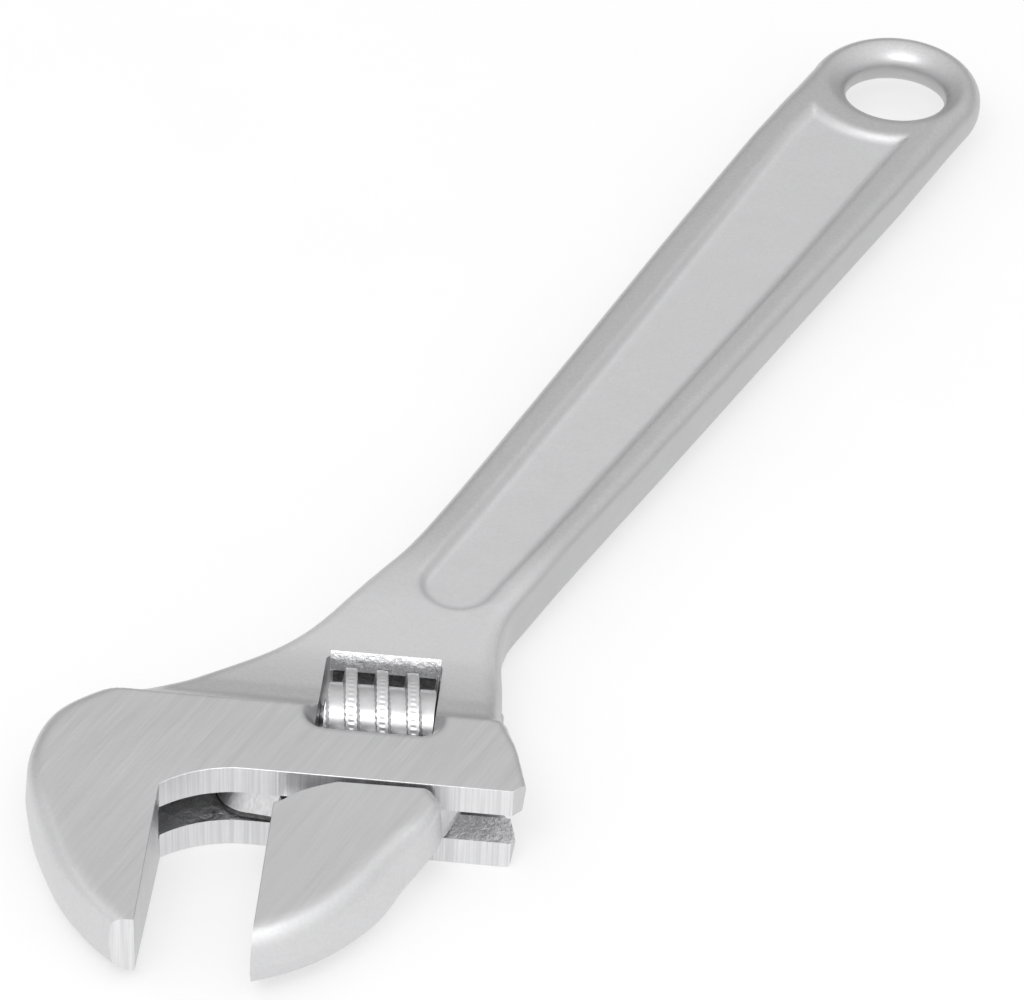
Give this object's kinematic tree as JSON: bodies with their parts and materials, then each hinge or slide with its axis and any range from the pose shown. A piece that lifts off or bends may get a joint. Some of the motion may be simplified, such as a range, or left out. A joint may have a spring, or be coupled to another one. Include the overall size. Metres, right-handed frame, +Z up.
{
  "type": "adjustable wrench",
  "caption": "Adjustable wrench: a forged body with a fixed jaw and a hanging eye, a sliding jaw on a rack, and a knurled worm that sets the opening.",
  "frame": {"origin": "on the surface that the wrench lies on, under the middle of its box", "axes": "+X along the handle from the head to the hanging eye, +Z up through the thickness, sliding jaw on the -Y side"},
  "size_m": [0.2534, 0.0662, 0.0155],
  "materials": {
    "satin_chrome": "satin, forged skin with a ground head",
    "worm_steel": "bright, knurled",
    "pin_steel": "turned",
    "spring_steel": "drawn wire"
  },
  "bodies": {
    "frame": {"wrench_body": "satin_chrome", "worm_pin": "pin_steel", "worm_spring": "spring_steel"},
    "jaw": {"sliding_jaw": "satin_chrome"},
    "worm": {"worm_screw": "worm_steel"}
  },
  "joints": [
    {"name": "jaw_slide", "type": "slide", "parent": "frame", "child": "jaw", "axis": [0.4067, -0.9135, 0], "range_m": [-0.0164, 0.013]},
    {"name": "worm_turn", "type": "hinge", "parent": "frame", "child": "worm", "pos_m": [-0.07307, 0.00234, 0.00775], "axis": [0.4067, -0.9135, 0], "range_deg": [-1028, 1296]}
  ],
  "couplings": [
    {"joint": "worm_turn", "follows": "jaw_slide", "rad_per_m": -1377.9}
  ]
}
